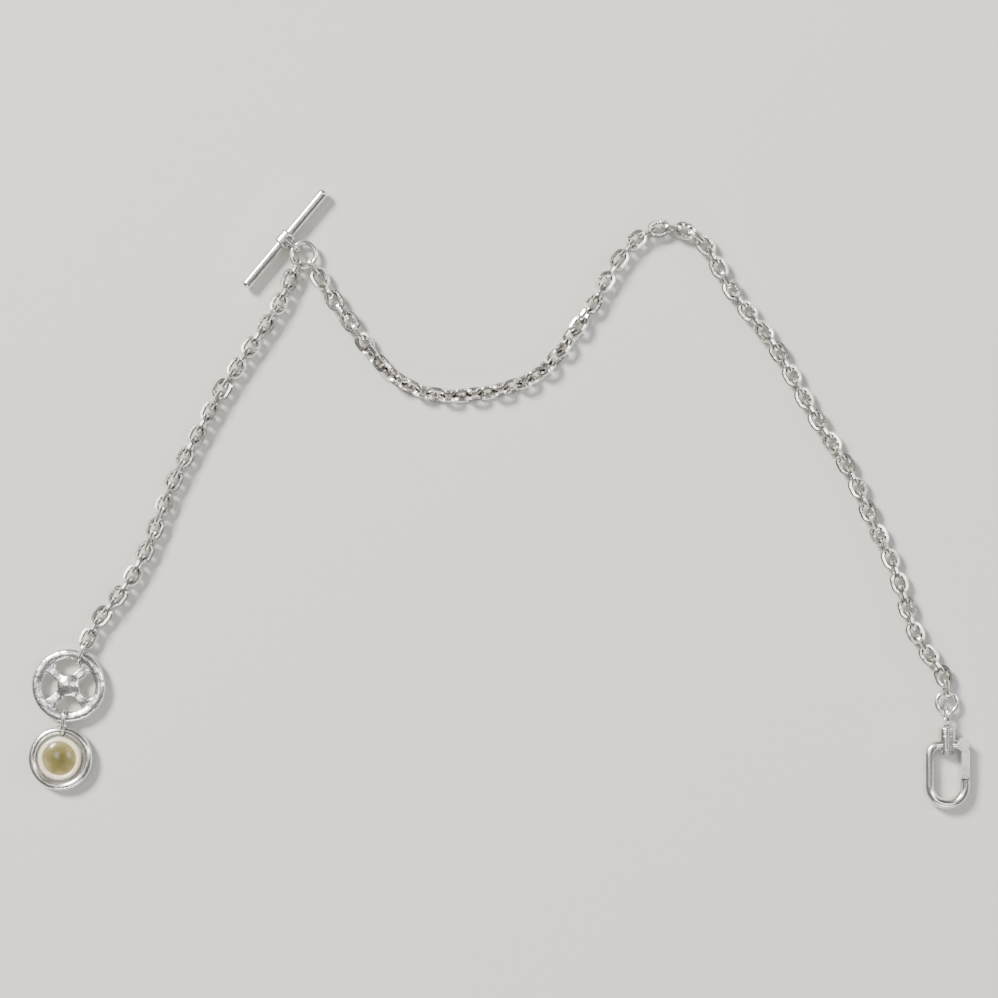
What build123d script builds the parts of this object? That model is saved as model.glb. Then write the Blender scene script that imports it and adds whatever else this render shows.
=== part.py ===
"""Pocket watch chain: T-bar, watch chain with a sprung swivel clasp, and a fob chain with two charms.

The chain lies flat on z = 0. X runs along its length, Y across it, and Z is up.
The origin is on the surface it lies on, under the middle of its box. Millimetres throughout.
"""

import os
from math import cos, radians, sin, sqrt

from build123d import *

os.makedirs("parts", exist_ok=True)

# Chain links: round wire bent into ovals, each a quarter turn from the next
link_wire = 1.1
link_width = 3.9
link_pitch = 2.8
link_gap = 0.14
links_per_run = 3
link_bow = (link_width - link_wire) / 2
link_straight = link_pitch + link_wire + link_gap - 2 * link_bow
chain_height = link_width / 2

# Where the chain's pieces lie
ring_centre = Vector(-42.0, 52.5)
bar_heading = 140
fob_heading = 237
watch_heading = 306
wheel_centre = Vector(-92.5, -40.0)
fob_arrival = 68
disc_heading = 263.5
clasp_x = 96.0
watch_chain_end = -42.0

# Ring that joins the bar and both chains
ring_radius = 2.6
ring_wire = 1.1

# T-bar
bar_length = 27.0
bar_radius = 1.1
bar_end_round = 0.9
collar_edge_round = 0.45
collar_radius = 1.85
collar_length = 3.2
bar_loop_wire = 1.0
bar_loop_reach = 3.9

# Wheel charm
wheel_radius = 7.95
rim_width = 2.2
rim_thickness = 1.6
spoke_width = 2.1
spoke_thickness = 1.1
spoke_flare = 0.85
hub_radius = 2.35
hub_thickness = 1.5
hub_dome = 0.6
charm_height = 2.1

# Oval rings that hold the charms
oval_wire = 0.9
oval_width = 4.2
oval_length = 5.9
disc_oval_length = 5.95
oval_bow = (oval_width - oval_wire) / 2
oval_slack = 0.1

# Disc charm
disc_radius = 6.9
disc_distance = 15.7
disc_back_radius = 4.4
flange_bottom = 1.4
bezel_edge = 2.1
bezel_crown = 2.9
bezel_inner_edge = 2.5
bezel_inner_radius = 5.25
flange_edge_round = 0.3
ring_hole_radius = 0.7
ring_hole_setback = 0.12
groove_floor = 2.0
dial_pocket_radius = 4.62
dial_pocket_floor = 1.8
dial_radius = 4.6
dial_rise = 1.4
stone_radius = 3.5
stone_edge = 1.0
stone_rise = 1.7
seat_gap = 0.02

# Clasp
clasp_ring_radius = 2.2
clasp_ring_wire = 1.0
eye_wire = 1.0
eye_length = 4.6
stem_radius = 0.75
stem_play = 0.1
swivel_collar_radius = 1.85
swivel_collar_length = 5.0
swivel_collar_round = 0.35
collar_groove = 0.18
collar_groove_inset = 0.8
swivel_gap = 0.15
stem_head_radius = 1.4
stem_head_length = 0.7
shoulder_drop = 3.7
hook_half_width = 3.9
hook_side_length = 6.6
hook_shoulder_radius = 2.3
hook_tip_length = 1.4
hook_section_width = 2.2
hook_section_depth = 3.0
gate_pivot_x = 3.3
gate_lug_radius = 1.35
gate_lug_height = 3.2
gate_slot_radius = 1.45
gate_slot_depth = 1.6
gate_tongue_radius = 1.15
gate_tongue_depth = 0.85
gate_bar_inset = 0.25
gate_bar_width = 1.7
gate_bar_depth = 2.6
gate_bar_round = 0.45
gate_tip_gap = 0.25
gate_clearance = 0.1
gate_side_play = 0.05
pin_radius = 0.45
pin_head_radius = 0.8
pin_head_length = 0.25
pin_play = 0.05
spring_wire = 0.2
spring_radius = 0.7
spring_pitch = 0.23
spring_turns = 1.5

up = Vector(0, 0, 1)


def heading(angle):
    """Unit vector in the XY plane, in degrees from +X towards +Y."""
    return Vector(cos(radians(angle)), sin(radians(angle)))


def upright_plane(centre, along):
    """Vertical plane through a centre point that contains a horizontal direction."""
    return Plane(origin=centre, x_dir=along, z_dir=up.cross(along))


def section_plane(centre, height):
    """Upright plane for half profiles: x outwards from the centre line and y up from a height."""
    return Plane(origin=centre + up * height, x_dir=(1, 0, 0), z_dir=(0, -1, 0))


def dome_points(radius, edge, rise):
    """Middle and end points of a dome's arc, from its crown out to its edge."""
    ball = (radius * radius + rise * rise) / (2 * abs(rise))
    half = radius / 2
    drop = ball - sqrt(ball * ball - half * half)
    crown = edge + rise
    return (half, crown - drop if rise > 0 else crown + drop), (radius, edge)


def oval_loop(straight, bow, wire):
    """Closed loop of round wire in XY about the origin: two straights joined by half circles."""
    with BuildPart() as loop:
        with BuildLine():
            first = Line((-straight / 2, -bow), (straight / 2, -bow))
            CenterArc((straight / 2, 0), bow, -90, 180)
            Line((straight / 2, bow), (-straight / 2, bow))
            CenterArc((-straight / 2, 0), bow, 90, 180)
        with BuildSketch(Plane(origin=first @ 0, z_dir=first % 0)):
            Circle(wire / 2)
        sweep()
    return loop.part


def route_edge(points, start_heading, end_heading):
    """Smooth edge through the points, leaving and arriving at the given headings."""
    with BuildLine() as route:
        Spline(*points, tangents=(heading(start_heading), heading(end_heading)))
    return route.line.edge()


def link_planes(route, count, first_roll, twist):
    """One plane per link: x along the chain and z square to the link's flat."""
    planes = []
    for index in range(count):
        start = route.position_at(index / count)
        end = route.position_at((index + 1) / count)
        along = (end - start).normalized()
        side = up.cross(along)
        lean = radians(twist(index))
        roll = radians(first_roll + 90 * index) + lean
        height = link_bow * cos(lean) + link_wire / 2
        centre = (start + end) / 2 + up * height
        planes.append(Plane(origin=centre, x_dir=along, z_dir=up * cos(roll) + side * sin(roll)))
    return planes


def ramp(value, low, high):
    """Smooth step from 0 at low to 1 at high."""
    share = min(max((value - low) / (high - low), 0), 1)
    return share * share * (3 - 2 * share)


def watch_twist(index):
    """Lean of the links in the low part of the swag, where the chain has rolled over by 45 degrees."""
    return 45 * (ramp(index, 5, 11) - ramp(index, 25, 31))


def no_twist(index):
    """The fob chain hangs without any roll."""
    return 0


# Routes of the two chains, from the ring outwards, and the number of links in each
first_link_reach = ring_radius - ring_wire / 2 - link_gap / 2
oval_far_tip = wheel_radius - rim_width - oval_slack - oval_wire + oval_length
fob_end_reach = oval_far_tip - oval_wire - link_gap / 2
fob_points = [
    ring_centre + heading(fob_heading) * first_link_reach,
    (-46.0, 44.5),
    (-50.5, 37.0),
    (-57.0, 27.5),
    (-63.0, 17.5),
    (-68.0, 8.0),
    (-71.5, 0.5),
    (-74.0, -6.5),
    (-77.5, -14.0),
    (-82.0, -21.0),
    (-86.5, -26.5),
    wheel_centre + heading(fob_arrival) * fob_end_reach,
]
watch_points = [
    ring_centre + heading(watch_heading) * first_link_reach,
    (-36.0, 43.5),
    (-32.0, 38.0),
    (-27.5, 31.5),
    (-21.5, 25.5),
    (-14.0, 22.5),
    (-6.0, 22.5),
    (2.0, 24.0),
    (9.0, 27.5),
    (15.0, 34.5),
    (20.0, 42.0),
    (25.0, 50.5),
    (31.0, 57.0),
    (37.0, 58.4),
    (43.0, 55.9),
    (48.0, 48.0),
    (54.0, 39.5),
    (60.0, 31.5),
    (65.0, 22.5),
    (70.5, 13.5),
    (76.0, 4.5),
    (80.0, -4.5),
    (84.5, -14.0),
    (87.5, -23.5),
    (90.8, -31.4),
    (94.7, -36.6),
    (clasp_x, watch_chain_end),
]
fob_route = route_edge(fob_points, fob_heading, fob_arrival + 180)
watch_route = route_edge(watch_points, watch_heading, -90)
fob_link_count = 34
watch_link_count = 81
fob_planes = link_planes(fob_route, fob_link_count, 90, no_twist)
watch_planes = link_planes(watch_route, watch_link_count, 90, watch_twist)
print("fob chain", round(fob_route.length, 1), "mm, pitch", round(fob_route.length / fob_link_count, 3))
print("watch chain", round(watch_route.length, 1), "mm, pitch",
      round(watch_route.length / watch_link_count, 3))

# Ring that joins the bar and both chains
ring_plane = Plane(origin=ring_centre + up * chain_height)
with BuildPart() as chain_ring:
    with Locations(ring_plane):
        Torus(ring_radius, ring_wire / 2)
chain_ring.part.label = "chain_ring"
export_step(chain_ring.part, "parts/chain_ring.step")

# T-bar: a plain bar with a collar at its middle and a wire loop that hangs on the ring
bar_away = heading(bar_heading)
bar_along = heading(bar_heading - 90)
loop_tip_reach = ring_radius - (ring_wire + bar_loop_wire) / 2 - link_gap
bar_centre = ring_centre + bar_away * (loop_tip_reach + bar_loop_reach) + up * chain_height
bar_plane = Plane(origin=bar_centre, x_dir=bar_along, z_dir=up)
bar_axis = Axis(bar_centre, bar_along)
bar_loop_bow = chain_height - bar_loop_wire / 2
with BuildPart() as t_bar:
    with BuildSketch(bar_plane) as bar_profile:
        with BuildLine():
            Polyline(
                (-bar_length / 2, 0),
                (-bar_length / 2, bar_radius),
                (-collar_length / 2, bar_radius),
                (-collar_length / 2, collar_radius),
                (collar_length / 2, collar_radius),
                (collar_length / 2, bar_radius),
                (bar_length / 2, bar_radius),
                (bar_length / 2, 0),
                close=True,
            )
        make_face()
        raised = bar_profile.vertices().filter_by(lambda v: v.Y > bar_radius / 2)
        tips = raised.filter_by(lambda v: abs(v.X) > collar_length)
        fillet(tips, bar_end_round)
        shoulders = bar_profile.vertices().filter_by(lambda v: v.Y > (bar_radius + collar_radius) / 2)
        fillet(shoulders, collar_edge_round)
    revolve(axis=bar_axis)
    loop_plane = Plane(origin=bar_centre, x_dir=bar_away * -1, z_dir=bar_along)
    with BuildLine(loop_plane):
        upper = Line((0, bar_loop_bow), (bar_loop_reach - bar_loop_bow, bar_loop_bow))
        CenterArc((bar_loop_reach - bar_loop_bow, 0), bar_loop_bow, 90, -180)
        Line((bar_loop_reach - bar_loop_bow, -bar_loop_bow), (0, -bar_loop_bow))
    with BuildSketch(Plane(origin=upper @ 0, z_dir=upper % 0)):
        Circle(bar_loop_wire / 2)
    sweep()
t_bar.part.label = "t_bar"
export_step(t_bar.part, "parts/t_bar.step")

# Chain links, several to a piece
link = oval_loop(link_straight, link_bow, link_wire)


def run_lengths(link_count):
    """Links in each run of a chain: the last run also takes the links left over."""
    lengths = [links_per_run] * (link_count // links_per_run)
    lengths[-1] += link_count % links_per_run
    return lengths


def export_chain(name, planes, lengths):
    """Write a chain as numbered runs of separate links."""
    first = 0
    for number, run_length in enumerate(lengths, start=1):
        run_name = f"{name}_{number:02d}"
        with BuildPart() as run:
            with Locations(*planes[first:first + run_length]):
                add(link)
        run.part.label = run_name
        export_step(run.part, f"parts/{run_name}.step")
        first += run_length


fob_runs = run_lengths(fob_link_count)
watch_runs = run_lengths(watch_link_count)
export_chain("fob_chain_links", fob_planes, fob_runs)
export_chain("watch_chain_links", watch_planes, watch_runs)

# Wheel charm: oval-section rim, four spokes that flare at both ends, and a domed hub
wheel_plane = Plane(origin=wheel_centre + up * charm_height)
wheel_section = section_plane(wheel_centre, charm_height)
wheel_axis = Axis(wheel_centre, up)
rim_radius = wheel_radius - rim_width / 2
rim_inside = wheel_radius - rim_width
opening_apex = spoke_width / sqrt(2)
hub_edge = hub_thickness / 2
with BuildSketch() as opening:
    Circle(rim_inside)
    Circle(hub_radius, mode=Mode.SUBTRACT)
    with BuildLine():
        Polyline(
            (opening_apex, 0),
            (opening_apex + wheel_radius, wheel_radius),
            (opening_apex + wheel_radius, -wheel_radius),
            close=True,
        )
    make_face(mode=Mode.INTERSECT)
    fillet(opening.vertices(), spoke_flare)
with BuildPart() as fob_wheel:
    with BuildSketch(wheel_plane.offset(-spoke_thickness / 2)):
        Circle(rim_radius)
        with PolarLocations(0, 4):
            add(opening.sketch, mode=Mode.SUBTRACT)
    extrude(amount=spoke_thickness)
    with BuildSketch(wheel_section):
        with Locations((rim_radius, 0)):
            Ellipse(rim_width / 2, rim_thickness / 2)
    revolve(axis=wheel_axis)
    with BuildSketch(wheel_section):
        with BuildLine():
            Line((0, hub_edge + hub_dome), (0, -hub_edge - hub_dome))
            ThreePointArc((0, -hub_edge - hub_dome), *dome_points(hub_radius, -hub_edge, -hub_dome))
            Line((hub_radius, -hub_edge), (hub_radius, hub_edge))
            ThreePointArc((0, hub_edge + hub_dome), *dome_points(hub_radius, hub_edge, hub_dome))
        make_face()
    revolve(axis=wheel_axis)
fob_wheel.part.label = "fob_wheel"
export_step(fob_wheel.part, "parts/fob_wheel.step")

# Oval rings: one between the fob chain and the wheel, one between the wheel and the disc
wheel_away = heading(fob_arrival)
oval_inner_tip = rim_inside - oval_slack - oval_wire / 2
wheel_oval_middle = oval_inner_tip + (oval_length - oval_wire) / 2
wheel_oval_centre = wheel_centre + wheel_away * wheel_oval_middle + up * charm_height
wheel_oval = oval_loop(oval_length - oval_width, oval_bow, oval_wire)
with BuildPart() as wheel_ring:
    with Locations(upright_plane(wheel_oval_centre, wheel_away)):
        add(wheel_oval)
wheel_ring.part.label = "wheel_ring"
export_step(wheel_ring.part, "parts/wheel_ring.step")

disc_away = heading(disc_heading)
disc_oval_middle = oval_inner_tip + (disc_oval_length - oval_wire) / 2
disc_oval_centre = wheel_centre + disc_away * disc_oval_middle + up * charm_height
disc_oval = oval_loop(disc_oval_length - oval_width, oval_bow, oval_wire)
with BuildPart() as disc_ring:
    with Locations(upright_plane(disc_oval_centre, disc_away)):
        add(disc_oval)
disc_ring.part.label = "disc_ring"
export_step(disc_ring.part, "parts/disc_ring.step")

# Disc charm: a case with a raised back, a domed bezel, a round hole for its ring, and a pocket for the dial
disc_centre = wheel_centre + disc_away * disc_distance
disc_section = section_plane(disc_centre, 0)
disc_axis = Axis(disc_centre, up)
ring_hole_reach = oval_inner_tip + disc_oval_length - oval_wire - ring_hole_setback
ring_hole_centre = wheel_centre + disc_away * ring_hole_reach
bezel_middle = (disc_radius + bezel_inner_radius) / 2
with BuildPart() as disc_case:
    with BuildSketch(disc_section) as case_profile:
        with BuildLine():
            Polyline(
                (bezel_inner_radius, bezel_inner_edge),
                (bezel_inner_radius, groove_floor),
                (dial_pocket_radius, groove_floor),
                (dial_pocket_radius, dial_pocket_floor),
                (0, dial_pocket_floor),
                (0, 0),
                (disc_back_radius, 0),
                (disc_back_radius, flange_bottom),
                (disc_radius, flange_bottom),
                (disc_radius, bezel_edge),
            )
            ThreePointArc((disc_radius, bezel_edge), (bezel_middle, bezel_crown),
                          (bezel_inner_radius, bezel_inner_edge))
        make_face()
        low_rim_corner = case_profile.vertices().sort_by_distance((disc_radius, flange_bottom))[0]
        fillet(low_rim_corner, flange_edge_round)
    revolve(axis=disc_axis)
    with BuildSketch(Plane(origin=ring_hole_centre)):
        Circle(ring_hole_radius)
    extrude(amount=2 * bezel_crown, mode=Mode.SUBTRACT)
disc_case.part.label = "disc_case"
export_step(disc_case.part, "parts/disc_case.step")

# Dial: a domed ring of cream enamel in the case's pocket
dial_floor = dial_pocket_floor + seat_gap
dial_bore = stone_radius + seat_gap
dial_middle = (dial_radius + dial_bore) / 2
with BuildPart() as disc_dial:
    with BuildSketch(disc_section):
        with BuildLine():
            Polyline((dial_bore, dial_floor + stone_edge), (dial_bore, dial_floor),
                     (dial_radius, dial_floor), (dial_radius, dial_floor + stone_edge))
            ThreePointArc((dial_radius, dial_floor + stone_edge), (dial_middle, dial_floor + dial_rise),
                          (dial_bore, dial_floor + stone_edge))
        make_face()
    revolve(axis=disc_axis)
disc_dial.part.label = "disc_dial"
export_step(disc_dial.part, "parts/disc_dial.step")

# Stone: a low cabochon in the middle of the dial
with BuildPart() as disc_stone:
    with BuildSketch(disc_section):
        with BuildLine():
            Polyline((0, dial_floor + stone_rise), (0, dial_floor), (stone_radius, dial_floor),
                     (stone_radius, dial_floor + stone_edge))
            ThreePointArc((0, dial_floor + stone_rise),
                          *dome_points(stone_radius, dial_floor + stone_edge, stone_rise - stone_edge))
        make_face()
    revolve(axis=disc_axis)
disc_stone.part.label = "disc_stone"
export_step(disc_stone.part, "parts/disc_stone.step")

# Clasp: everything hangs straight down from the last link, in the plane of the chain
link_tip = (link_wire + link_gap) / 2
clasp_ring_reach = clasp_ring_radius - (clasp_ring_wire + link_wire) / 2 - link_gap
clasp_ring_y = watch_chain_end - link_tip - clasp_ring_reach
clasp_ring_centre = Vector(clasp_x, clasp_ring_y, chain_height)
with BuildPart() as clasp_ring:
    with Locations(clasp_ring_centre):
        Torus(clasp_ring_radius, clasp_ring_wire / 2)
clasp_ring.part.label = "clasp_ring"
export_step(clasp_ring.part, "parts/clasp_ring.step")

# Swivel eye: an upright oval loop on a headed stem that turns in the clasp's collar
eye_top = clasp_ring_y - clasp_ring_radius + (clasp_ring_wire + eye_wire) / 2 + link_gap
eye_bow = chain_height - eye_wire / 2
eye_middle = eye_top - (eye_length - eye_wire) / 2
eye_bottom = eye_top - (eye_length - eye_wire)
collar_top = eye_bottom - eye_wire / 2 - stem_play
collar_bottom = collar_top - swivel_collar_length
head_top = collar_bottom - stem_play
down_the_clasp = Plane(origin=(clasp_x, eye_bottom, chain_height), x_dir=(1, 0, 0), z_dir=(0, -1, 0))
eye_loop = oval_loop(eye_length - 2 * chain_height, eye_bow, eye_wire)
with BuildPart() as swivel_eye:
    with Locations(upright_plane(Vector(clasp_x, eye_middle, chain_height), Vector(0, -1, 0))):
        add(eye_loop)
    with BuildSketch(down_the_clasp):
        Circle(stem_radius)
    extrude(amount=eye_bottom - head_top)
    with BuildSketch(down_the_clasp.offset(eye_bottom - head_top)):
        Circle(stem_head_radius)
    extrude(amount=stem_head_length)
swivel_eye.part.label = "swivel_eye"
export_step(swivel_eye.part, "parts/swivel_eye.step")

# Clasp body: collar, hook and the two lugs that carry the gate
shoulder_y = collar_top - shoulder_drop
flat = Plane.XY.offset(chain_height)
gate_pivot = (clasp_x + gate_pivot_x, shoulder_y)
hook_bottom_y = shoulder_y - hook_shoulder_radius - hook_side_length
hook_tip_y = hook_bottom_y + hook_tip_length
collar_plane = Plane(origin=(clasp_x, collar_top, chain_height), x_dir=(1, 0, 0), z_dir=(0, -1, 0))
collar_section = Plane(origin=(clasp_x, collar_top, chain_height), x_dir=(0, 0, 1), z_dir=(-1, 0, 0))
collar_axis = Axis((clasp_x, collar_top, chain_height), (0, -1, 0))
upper_groove = collar_groove_inset
lower_groove = shoulder_drop - hook_section_width / 2 - collar_groove_inset
with BuildPart() as clasp_body:
    with BuildLine(flat):
        shoulder = Line(gate_pivot, (clasp_x - hook_half_width + hook_shoulder_radius, shoulder_y))
        corner = JernArc(shoulder @ 1, shoulder % 1, hook_shoulder_radius, 90)
        side = Line(corner @ 1, (corner @ 1) + Vector(0, -hook_side_length))
        bend = JernArc(side @ 1, side % 1, hook_half_width, 180)
        Line(bend @ 1, (bend @ 1) + Vector(0, hook_tip_length))
    with BuildSketch(Plane(origin=shoulder @ 0, x_dir=(0, 1, 0), z_dir=shoulder % 0)):
        Ellipse(hook_section_width / 2, hook_section_depth / 2)
    sweep()
    with BuildSketch(collar_section) as collar_profile:
        with Locations((swivel_collar_radius / 2, -swivel_collar_length / 2)):
            Rectangle(swivel_collar_radius, swivel_collar_length)
        outer_corners = collar_profile.vertices().group_by(Axis.X)[-1]
        fillet(outer_corners, swivel_collar_round)
        with Locations((swivel_collar_radius, -upper_groove), (swivel_collar_radius, -lower_groove)):
            Circle(collar_groove, mode=Mode.SUBTRACT)
    revolve(axis=collar_axis)
    with BuildSketch(flat.offset(-gate_lug_height / 2)):
        with Locations(gate_pivot):
            Circle(gate_lug_radius)
    extrude(amount=gate_lug_height)
    with BuildSketch(collar_plane):
        Circle(stem_radius + swivel_gap)
    extrude(amount=swivel_collar_length, mode=Mode.SUBTRACT)
    with BuildSketch(flat.offset(-gate_slot_depth / 2)):
        with Locations(gate_pivot):
            Circle(gate_slot_radius)
    extrude(amount=gate_slot_depth, mode=Mode.SUBTRACT)
    with BuildSketch(flat.offset(-gate_lug_height / 2)):
        with Locations(gate_pivot):
            Circle(pin_radius + seat_gap)
    extrude(amount=gate_lug_height, mode=Mode.SUBTRACT)
clasp_body.part.label = "clasp_body"
export_step(clasp_body.part, "parts/clasp_body.step")

# Gate: a lever on a pin, with a thin tongue between the body's lugs and a bar down to the hook's tip
pivot_x, pivot_y = gate_pivot
bar_inner_x = pivot_x - gate_bar_inset
bar_outer_x = bar_inner_x + gate_bar_width
bar_tip_y = hook_tip_y + gate_tip_gap
tongue_bottom = chain_height - gate_slot_depth / 2 + gate_side_play
with BuildPart() as clasp_gate:
    with BuildSketch(flat.offset(-gate_bar_depth / 2)) as gate_bar:
        with BuildLine():
            Polyline(
                (bar_inner_x, pivot_y),
                (bar_inner_x, bar_tip_y),
                (bar_outer_x, bar_tip_y),
                (bar_outer_x, pivot_y - gate_lug_radius),
                (pivot_x + gate_lug_radius / 2, pivot_y),
                close=True,
            )
        make_face()
        with Locations(gate_pivot):
            Circle(gate_lug_radius + gate_clearance, mode=Mode.SUBTRACT)
        low_corners = gate_bar.vertices().group_by(Axis.Y)[0]
        fillet(low_corners, gate_bar_round)
    extrude(amount=gate_bar_depth)
    with BuildSketch(Plane.XY.offset(tongue_bottom)):
        with Locations(gate_pivot):
            Circle(gate_tongue_radius)
        neck_length = 2 * gate_lug_radius
        with Locations((pivot_x + gate_tongue_radius / 2 - gate_bar_inset / 2, pivot_y - neck_length / 2)):
            Rectangle(gate_tongue_radius + gate_bar_inset, neck_length)
    extrude(amount=gate_tongue_depth)
    with BuildSketch(Plane.XY.offset(tongue_bottom)):
        with Locations(gate_pivot):
            Circle(pin_radius + pin_play)
    extrude(amount=gate_tongue_depth, mode=Mode.SUBTRACT)
clasp_gate.part.label = "clasp_gate"
export_step(clasp_gate.part, "parts/clasp_gate.step")

# Pin: headed at both ends, through both lugs and the gate's tongue
with BuildPart() as gate_pin:
    with BuildSketch(flat.offset(-gate_lug_height / 2)):
        with Locations(gate_pivot):
            Circle(pin_radius)
    extrude(amount=gate_lug_height)
    for head_bottom in (-gate_lug_height / 2 - pin_head_length, gate_lug_height / 2):
        with BuildSketch(flat.offset(head_bottom)):
            with Locations(gate_pivot):
                Circle(pin_head_radius)
        extrude(amount=pin_head_length)
gate_pin.part.label = "gate_pin"
export_step(gate_pin.part, "parts/gate_pin.step")

# Spring: a small torsion coil round the pin, beside the gate's tongue
spring_bottom = tongue_bottom + gate_tongue_depth + gate_side_play + spring_wire / 2
with BuildPart() as gate_spring:
    with BuildLine():
        coil = Helix(spring_pitch, spring_pitch * spring_turns, spring_radius,
                     center=(pivot_x, pivot_y, spring_bottom))
    with BuildSketch(Plane(origin=coil @ 0, z_dir=coil % 0)):
        Circle(spring_wire / 2)
    sweep(is_frenet=True)
gate_spring.part.label = "gate_spring"
export_step(gate_spring.part, "parts/gate_spring.step")
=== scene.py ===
import math
import random

import bmesh
import bpy
import numpy as np
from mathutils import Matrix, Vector
from mathutils import noise as mathnoise


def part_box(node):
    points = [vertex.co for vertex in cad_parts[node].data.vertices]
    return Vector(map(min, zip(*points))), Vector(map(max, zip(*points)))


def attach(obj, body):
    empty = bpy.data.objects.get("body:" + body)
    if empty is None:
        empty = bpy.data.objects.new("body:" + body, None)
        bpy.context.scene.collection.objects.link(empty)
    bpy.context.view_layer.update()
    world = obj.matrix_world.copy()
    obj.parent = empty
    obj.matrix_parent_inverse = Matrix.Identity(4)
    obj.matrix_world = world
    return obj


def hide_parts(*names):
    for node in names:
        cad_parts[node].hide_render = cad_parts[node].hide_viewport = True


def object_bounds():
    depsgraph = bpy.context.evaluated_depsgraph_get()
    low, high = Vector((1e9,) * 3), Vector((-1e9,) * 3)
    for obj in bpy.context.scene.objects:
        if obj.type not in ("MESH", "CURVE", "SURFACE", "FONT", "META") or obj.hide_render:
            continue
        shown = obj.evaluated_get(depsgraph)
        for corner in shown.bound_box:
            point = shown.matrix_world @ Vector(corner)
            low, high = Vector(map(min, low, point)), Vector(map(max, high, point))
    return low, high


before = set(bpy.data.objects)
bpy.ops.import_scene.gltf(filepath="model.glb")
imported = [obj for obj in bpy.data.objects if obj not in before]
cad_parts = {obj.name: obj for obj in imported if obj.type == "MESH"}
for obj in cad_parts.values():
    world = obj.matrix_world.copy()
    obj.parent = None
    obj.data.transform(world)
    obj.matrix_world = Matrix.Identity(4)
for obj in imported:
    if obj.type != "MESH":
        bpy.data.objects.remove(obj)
cad_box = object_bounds()

MM = 0.001

# Sockets of a colour Mix node, which share their names with its other types' sockets
MIX_A = 6
MIX_B = 7
MIX_RESULT = 2
# Where most of a noise's values lie
NOISE_LOW = 0.3
NOISE_HIGH = 0.7
AO_SAMPLES = 8


def node_material(name):
    """A new node material, with its node tree and its shader."""
    material = bpy.data.materials.new(name)
    material.use_nodes = True
    tree = material.node_tree
    return material, tree, tree.nodes["Principled BSDF"]


def add(tree, kind, **values):
    """Adds a node and sets its properties and inputs by name."""
    node = tree.nodes.new(kind)
    for key, value in values.items():
        if key in node.inputs:
            node.inputs[key].default_value = value
        else:
            setattr(node, key, value)
    return node


def ramp(tree, source, stops):
    """Colour ramp fed by a socket; stops are (position, colour)."""
    node = tree.nodes.new("ShaderNodeValToRGB")
    elements = node.color_ramp.elements
    for element, (position, colour) in zip(elements, (stops[0], stops[-1])):
        element.position = position
        element.color = (*colour, 1)
    for position, colour in stops[1:-1]:
        elements.new(position).color = (*colour, 1)
    tree.links.new(source, node.inputs["Fac"])
    return node.outputs["Color"]


def noise(tree, where, size, detail=4, roughness=0.55):
    """Noise whose features are about the given size in metres."""
    node = add(tree, "ShaderNodeTexNoise", Scale=1 / size, Detail=detail, Roughness=roughness)
    tree.links.new(where, node.inputs["Vector"])
    return node.outputs["Fac"]


def spread(tree, source, target, low, high):
    """Maps most of a noise's range to low..high on a target socket."""
    scale = add(tree, "ShaderNodeMapRange")
    tree.links.new(source, scale.inputs["Value"])
    scale.inputs["From Min"].default_value = NOISE_LOW
    scale.inputs["From Max"].default_value = NOISE_HIGH
    scale.inputs["To Min"].default_value = low
    scale.inputs["To Max"].default_value = high
    tree.links.new(scale.outputs["Result"], target)


def silver(name, bright, dull, tarnish_and_shade, roughness, wear_size, dent_depth, reach):
    """Silver plate: clouded brightness, dark tarnish and painted shade where surfaces meet, fine scratches
    and soft dents.
    """
    material, tree, shader = node_material(name)
    where = add(tree, "ShaderNodeTexCoord").outputs["Object"]
    cloud = noise(tree, where, wear_size)
    tone = ramp(tree, cloud, [(0.35, dull), (0.62, bright)])
    # Painted shade: ambient occlusion pulls the colour towards the dark tarnish colour in hollows and where
    # surfaces meet, standing in for shade as well as tarnish.
    hollow = add(tree, "ShaderNodeAmbientOcclusion", samples=AO_SAMPLES)
    hollow.inputs["Distance"].default_value = reach
    shade = ramp(tree, hollow.outputs["AO"], [(0.25, (1, 1, 1)), (0.72, (0, 0, 0))])
    mix = add(tree, "ShaderNodeMix", data_type="RGBA")
    tree.links.new(shade, mix.inputs["Factor"])
    tree.links.new(tone, mix.inputs[MIX_A])
    mix.inputs[MIX_B].default_value = (*tarnish_and_shade, 1)
    tree.links.new(mix.outputs[MIX_RESULT], shader.inputs["Base Color"])
    fine = noise(tree, where, wear_size / 6, detail=6)
    spread(tree, fine, shader.inputs["Roughness"], *roughness)
    dents = noise(tree, where, wear_size * 0.5, detail=2)
    bump = add(tree, "ShaderNodeBump", Strength=1.0, Distance=dent_depth)
    tree.links.new(dents, bump.inputs["Height"])
    scratch = add(tree, "ShaderNodeBump", Strength=0.6, Distance=dent_depth / 8)
    tree.links.new(fine, scratch.inputs["Height"])
    tree.links.new(bump.outputs["Normal"], scratch.inputs["Normal"])
    tree.links.new(scratch.outputs["Normal"], shader.inputs["Normal"])
    shader.inputs["Metallic"].default_value = 1.0
    return material


def dress(node_name, material):
    """Gives a CAD node its looks through its own material slots."""
    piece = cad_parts[node_name]
    for slot in piece.material_slots:
        slot.material = material


def grain(tree, shader, where, size, depth, detail=6):
    """Fine bump on a shader."""
    height = noise(tree, where, size, detail=detail)
    bump = add(tree, "ShaderNodeBump", Strength=0.7, Distance=depth)
    tree.links.new(height, bump.inputs["Height"])
    tree.links.new(bump.outputs["Normal"], shader.inputs["Normal"])


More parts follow.
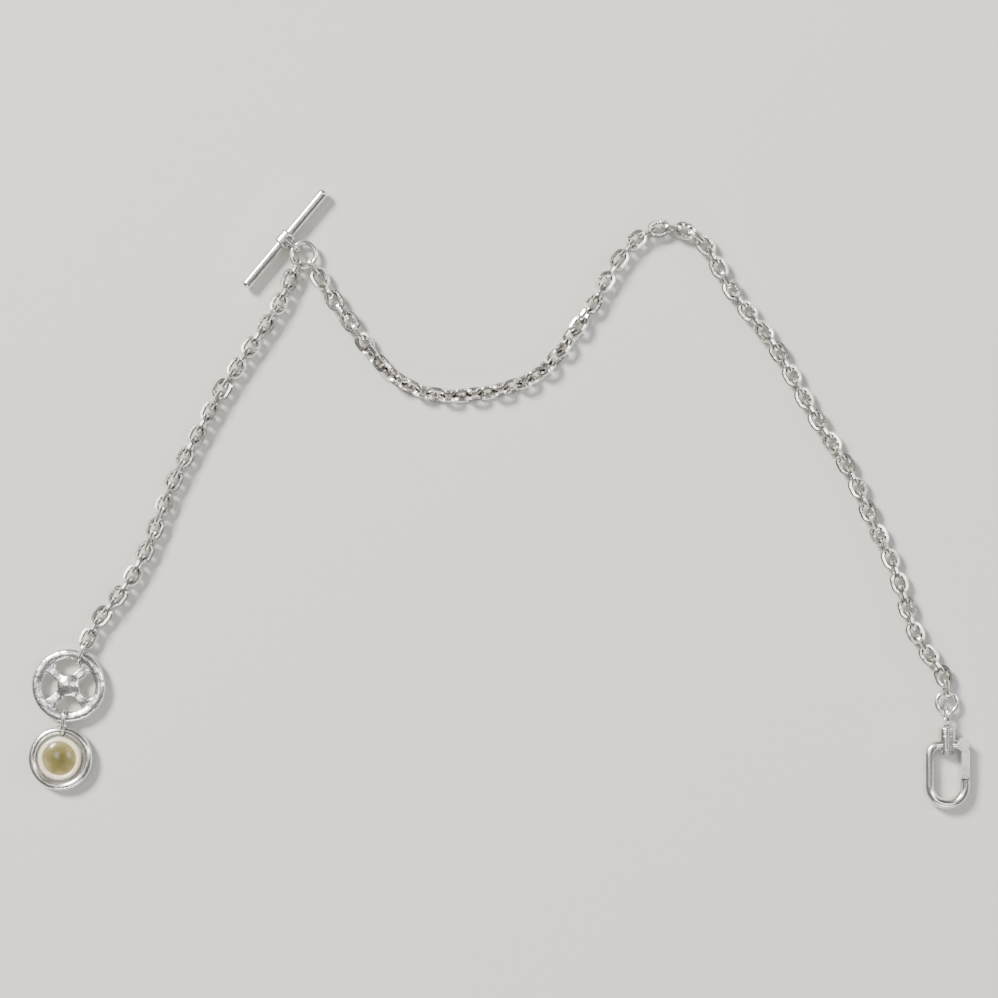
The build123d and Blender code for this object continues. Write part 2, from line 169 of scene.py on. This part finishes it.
def enamel(name):
    """Glossy cream enamel: clouded, with painted shade darkening its corners, and a fine orange-peel
    surface.
    """
    material, tree, shader = node_material(name)
    where = add(tree, "ShaderNodeTexCoord").outputs["Object"]
    cloud = noise(tree, where, 2.2 * MM, detail=5)
    tone = ramp(tree, cloud, [
        (0.30, (0.72, 0.62, 0.40)),
        (0.55, (0.84, 0.75, 0.54)),
        (0.72, (0.90, 0.83, 0.65)),
    ])
    # Painted shade: ambient occlusion multiplies the enamel's colour darker in its corners and recesses.
    hollow = add(tree, "ShaderNodeAmbientOcclusion", samples=AO_SAMPLES)
    hollow.inputs["Distance"].default_value = 0.6 * MM
    shade = ramp(tree, hollow.outputs["AO"], [(0.30, (0.35, 0.30, 0.20)), (0.80, (1, 1, 1))])
    mix = add(tree, "ShaderNodeMix", data_type="RGBA", blend_type="MULTIPLY")
    mix.inputs["Factor"].default_value = 1
    tree.links.new(tone, mix.inputs[MIX_A])
    tree.links.new(shade, mix.inputs[MIX_B])
    tree.links.new(mix.outputs[MIX_RESULT], shader.inputs["Base Color"])
    spread(tree, noise(tree, where, 0.4 * MM), shader.inputs["Roughness"], 0.16, 0.32)
    grain(tree, shader, where, 0.5 * MM, 0.006 * MM)
    shader.inputs["Coat Weight"].default_value = 0.6
    shader.inputs["Coat Roughness"].default_value = 0.08
    return material


# The stone's tone follows its share of the radius plus this much cloud, up to the given reach
STONE_CLOUD = 0.9
STONE_REACH = 1.5


def cabochon(name, centre, radius):
    """Polished olive stone: dark and mottled in the middle, paler and more golden towards its edge."""
    material, tree, shader = node_material(name)
    where = add(tree, "ShaderNodeTexCoord").outputs["Object"]
    offset = add(tree, "ShaderNodeVectorMath", operation="DISTANCE")
    tree.links.new(where, offset.inputs[0])
    offset.inputs[1].default_value = centre
    share = add(tree, "ShaderNodeMath", operation="DIVIDE")
    tree.links.new(offset.outputs["Value"], share.inputs[0])
    share.inputs[1].default_value = radius
    cloud = noise(tree, where, 1.6 * MM, detail=6, roughness=0.62)
    shifted = add(tree, "ShaderNodeMath", operation="MULTIPLY_ADD")
    tree.links.new(cloud, shifted.inputs[0])
    shifted.inputs[1].default_value = STONE_CLOUD
    tree.links.new(share.outputs["Value"], shifted.inputs[2])
    stops = [
        (0.45, (0.070, 0.060, 0.020)),
        (0.85, (0.125, 0.108, 0.038)),
        (1.15, (0.175, 0.150, 0.060)),
        (1.45, (0.28, 0.24, 0.115)),
    ]
    scaled = add(tree, "ShaderNodeMath", operation="DIVIDE")
    tree.links.new(shifted.outputs["Value"], scaled.inputs[0])
    scaled.inputs[1].default_value = STONE_REACH
    shares = [(position / STONE_REACH, colour) for position, colour in stops]
    tone = ramp(tree, scaled.outputs["Value"], shares)
    tree.links.new(tone, shader.inputs["Base Color"])
    spread(tree, noise(tree, where, 0.7 * MM), shader.inputs["Roughness"], 0.10, 0.20)
    grain(tree, shader, where, 0.9 * MM, 0.008 * MM)
    shader.inputs["Specular IOR Level"].default_value = 0.35
    shader.inputs["Coat Weight"].default_value = 0.15
    shader.inputs["Coat Roughness"].default_value = 0.05
    return material


# The third colour of each silver is its tarnish colour, which is also painted shade where surfaces meet.
chain_silver = silver("chain_silver", (0.98, 0.955, 0.91), (0.80, 0.76, 0.71), (0.13, 0.10, 0.08),
                      (0.12, 0.26), 1.6 * MM, 0.03 * MM, 0.9 * MM)
polished_silver = silver("polished_silver", (0.93, 0.91, 0.88), (0.76, 0.74, 0.71), (0.20, 0.17, 0.15),
                         (0.17, 0.28), 2.5 * MM, 0.006 * MM, 1.0 * MM)
cast_silver = silver("cast_silver", (0.95, 0.92, 0.89), (0.70, 0.67, 0.66), (0.12, 0.10, 0.09),
                     (0.16, 0.36), 1.8 * MM, 0.05 * MM, 1.4 * MM)
spring_steel = silver("spring_steel", (0.62, 0.61, 0.60), (0.40, 0.39, 0.38), (0.10, 0.09, 0.09),
                      (0.22, 0.42), 0.8 * MM, 0.005 * MM, 0.4 * MM)
cream_enamel = enamel("cream_enamel")
stone_low, stone_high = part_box("disc_stone")
stone_centre = [(a + b) / 2 for a, b in zip(stone_low, stone_high)]
olive_stone = cabochon("olive_stone", stone_centre, (stone_high[0] - stone_low[0]) / 2)

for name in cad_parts:
    dress(name, chain_silver if "links" in name else polished_silver)
dress("fob_wheel", cast_silver)
dress("disc_dial", cream_enamel)
dress("disc_stone", olive_stone)
dress("gate_spring", spring_steel)


def finish_piece(name, mesh, material, body, node):
    """Adds a mesh as a piece that stands for a CAD node and rides on its body."""
    mesh.materials.clear()
    mesh.materials.append(material)
    piece = bpy.data.objects.new(name, mesh)
    bpy.context.collection.objects.link(piece)
    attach(piece, body)
    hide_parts(node)
    return piece


def welded(node_name):
    """A node's mesh as a bmesh with the seams between its faces closed."""
    mesh = bmesh.new()
    mesh.from_mesh(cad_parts[node_name].data)
    bmesh.ops.remove_doubles(mesh, verts=mesh.verts, dist=0.001 * MM)
    return mesh


def cast(node_name, body, material, voxel, rounds, lump_size, lump_depth):
    """Replaces a CAD node by its cast version: its edges melted round, and a slightly uneven skin."""
    mesh = bpy.data.meshes.new(node_name + "_weld")
    weld = welded(node_name)
    weld.to_mesh(mesh)
    weld.free()
    form = bpy.data.objects.new(node_name + "_form", mesh)
    bpy.context.collection.objects.link(form)
    remesh = form.modifiers.new("remesh", "REMESH")
    remesh.mode = "VOXEL"
    remesh.voxel_size = voxel
    melt = form.modifiers.new("melt", "SMOOTH")
    melt.iterations = rounds
    graph = bpy.context.evaluated_depsgraph_get()
    result = bpy.data.meshes.new_from_object(form.evaluated_get(graph))
    result.name = node_name + "_cast"
    bpy.data.objects.remove(form)
    for vertex in result.vertices:
        lump = mathnoise.fractal(vertex.co / lump_size, 1.0, 2.0, 2)
        vertex.co += vertex.normal * (lump * lump_depth)
    result.shade_smooth()
    finish_piece(result.name, result, material, body, node_name)


cast("fob_wheel", "fob_wheel", cast_silver, voxel=0.15 * MM, rounds=14, lump_size=2.0 * MM,
     lump_depth=0.07 * MM)

# Links: bright-cut wire with eight flats, bent round each CAD link, and closed by a small seam
SECTION_SIDES = 8
END_STEPS = 12
SIDE_STEPS = 6
# Steps along a side where the seam swells or thins the wire
SEAM = {2: 1.05, 3: 0.95, 4: 1.05}
# How far each link's flats may be turned from their even places, in radians
FLAT_TURN = 0.12
SHARP_ANGLE = math.radians(28)
WELD_GRID = 0.001 * MM


def solids_of(node_name):
    """The separate solids of a CAD node, each as the corners of its triangles."""
    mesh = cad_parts[node_name].data
    mesh.calc_loop_triangles()
    points = np.empty(len(mesh.vertices) * 3)
    mesh.vertices.foreach_get("co", points)
    points = points.reshape(-1, 3)
    corners = np.empty(len(mesh.loop_triangles) * 3, dtype=np.int64)
    mesh.loop_triangles.foreach_get("vertices", corners)
    welds = np.unique(np.round(points / WELD_GRID), axis=0, return_inverse=True)[1].reshape(-1)
    triangles = welds[corners].reshape(-1, 3)
    labels = np.arange(welds.max() + 1)
    while True:
        lowest = labels.copy()
        np.minimum.at(lowest, triangles.ravel(), np.repeat(labels[triangles].min(axis=1), 3))
        lowest = lowest[lowest]
        if (lowest == labels).all():
            break
        labels = lowest
    owner = labels[triangles[:, 0]]
    shape = points[corners].reshape(-1, 3, 3)
    return [shape[owner == label] for label in np.unique(owner)]


def own_axes(triangles):
    """Centre, axes and half sizes of a solid, its longest axis first."""
    edges = triangles[:, 1:] - triangles[:, :1]
    weights = np.linalg.norm(np.cross(edges[:, 0], edges[:, 1]), axis=1)
    places = triangles.mean(axis=1)
    centre = weights @ places / weights.sum()
    apart = places - centre
    directions = np.linalg.eigh((apart * weights[:, None]).T @ apart)[1]
    axes = directions[:, ::-1].T
    return centre, axes, np.abs((triangles.reshape(-1, 3) - centre) @ axes.T).max(axis=0)


def cut_link(centre, axes, half, turn, seam_side):
    """Points and faces of one bright-cut link that fills the given half sizes."""
    wire = half[2]
    bow = half[1] - wire
    straight = half[0] - half[1]
    path = []
    for end in (1, -1):
        for step in range(END_STEPS):
            angle = math.pi * (step / END_STEPS - 0.5)
            way = np.array([math.cos(angle), math.sin(angle)]) * end
            path.append((np.array([end * straight, 0]) + way * bow, way, 1.0))
        for step in range(SIDE_STEPS):
            along = end * straight * (1 - 2 * step / SIDE_STEPS)
            swell = SEAM.get(step, 1.0) if end == seam_side else 1.0
            path.append((np.array([along, end * bow]), np.array([0.0, end]), swell))
    points, faces = [], []
    for place, way, swell in path:
        for side in range(SECTION_SIDES):
            angle = turn + 2 * math.pi * side / SECTION_SIDES
            out = wire * swell * math.cos(angle)
            flat = place + way * out
            local = np.array([flat[0], flat[1], wire * swell * math.sin(angle)])
            points.append(centre + local @ axes)
    count = len(path)
    for step in range(count):
        for side in range(SECTION_SIDES):
            a = step * SECTION_SIDES + side
            b = step * SECTION_SIDES + (side + 1) % SECTION_SIDES
            c = ((step + 1) % count) * SECTION_SIDES
            faces.append((a, b, c + (side + 1) % SECTION_SIDES, c + side))
    return points, faces


def cut_run(node_name, rng):
    """The mesh of all links in one run."""
    points, faces = [], []
    for solid in solids_of(node_name):
        centre, axes, half = own_axes(solid)
        turn = math.pi / SECTION_SIDES + rng.uniform(-FLAT_TURN, FLAT_TURN)
        link_points, link_faces = cut_link(centre, axes, half, turn, rng.choice((1, -1)))
        faces += [tuple(index + len(points) for index in face) for face in link_faces]
        points += link_points
    mesh = bpy.data.meshes.new(node_name + "_cut")
    mesh.from_pydata(points, [], faces)
    tidy = bmesh.new()
    tidy.from_mesh(mesh)
    bmesh.ops.recalc_face_normals(tidy, faces=tidy.faces)
    tidy.to_mesh(mesh)
    tidy.free()
    mesh.shade_smooth()
    mesh.set_sharp_from_angle(angle=SHARP_ANGLE)
    return mesh


rng = random.Random(7)
for name in sorted(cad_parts):
    if "_links_" in name:
        run = cut_run(name, rng)
        finish_piece(run.name, run, chain_silver, name.replace("_links", ""), name)

# Stage, light and camera
low, high = cad_box
middle = [(a + b) / 2 for a, b in zip(low, high)]
FLOOR_SIDE = 4
bpy.ops.mesh.primitive_plane_add(size=FLOOR_SIDE, location=(0, 0, 0))
floor = bpy.context.object
floor.name = "floor"
floor_material, _, floor_shader = node_material("pale_floor")
floor_shader.inputs["Base Color"].default_value = (0.60, 0.585, 0.56, 1)
floor_shader.inputs["Roughness"].default_value = 0.9
floor.data.materials.append(floor_material)

world = bpy.data.worlds.new("studio")
bpy.context.scene.world = world
world.use_nodes = True
world.node_tree.nodes["Background"].inputs["Color"].default_value = (0.95, 0.97, 1.0, 1)
world.node_tree.nodes["Background"].inputs["Strength"].default_value = 0.16


# Far, large softboxes light the floor evenly and look the same on the object as near, small ones
SOFTBOX_REACH = 3


def softbox(name, place, target, size, power, colour=(1, 1, 1)):
    """An area light that looks at a target point, moved out along its line by SOFTBOX_REACH."""
    light = bpy.data.lights.new(name, "AREA")
    light.shape = "RECTANGLE"
    light.size, light.size_y = (edge * SOFTBOX_REACH for edge in size)
    light.energy = power * SOFTBOX_REACH ** 2
    light.color = colour
    lamp = bpy.data.objects.new(name, light)
    bpy.context.collection.objects.link(lamp)
    inwards = Vector(target) - Vector(place)
    lamp.location = Vector(target) - inwards * SOFTBOX_REACH
    lamp.rotation_euler = inwards.to_track_quat("-Z", "Y").to_euler()


softbox("key", (-0.40, 0.38, 0.50), middle, (0.20, 0.20), 14.5, (1.0, 0.95, 0.89))
softbox("fill", (0.55, 0.10, 0.40), middle, (0.12, 0.45), 2.0, (0.93, 0.96, 1.0))
softbox("strip", (0.05, -0.55, 0.35), middle, (0.50, 0.06), 1.6)
softbox("charm_top", (-0.33, 0.02, 0.80), (-0.09, -0.05, 0), (0.22, 0.16), 0.9)
softbox("clasp_top", (0.27, 0.02, 0.80), (0.09, -0.05, 0), (0.22, 0.16), 0.9)

FRAME_FILL = 0.94
LENS_MM = 85
SENSOR_MM = 36
side = (high[0] - low[0]) / FRAME_FILL
distance = side * LENS_MM / SENSOR_MM
camera_data = bpy.data.cameras.new("camera")
camera_data.lens = LENS_MM
camera_data.sensor_width = SENSOR_MM
camera_data.clip_start = 0.01
camera = bpy.data.objects.new("camera", camera_data)
bpy.context.collection.objects.link(camera)
camera.location = (middle[0], middle[1], distance)
camera.rotation_euler = (0, 0, 0)
bpy.context.scene.camera = camera
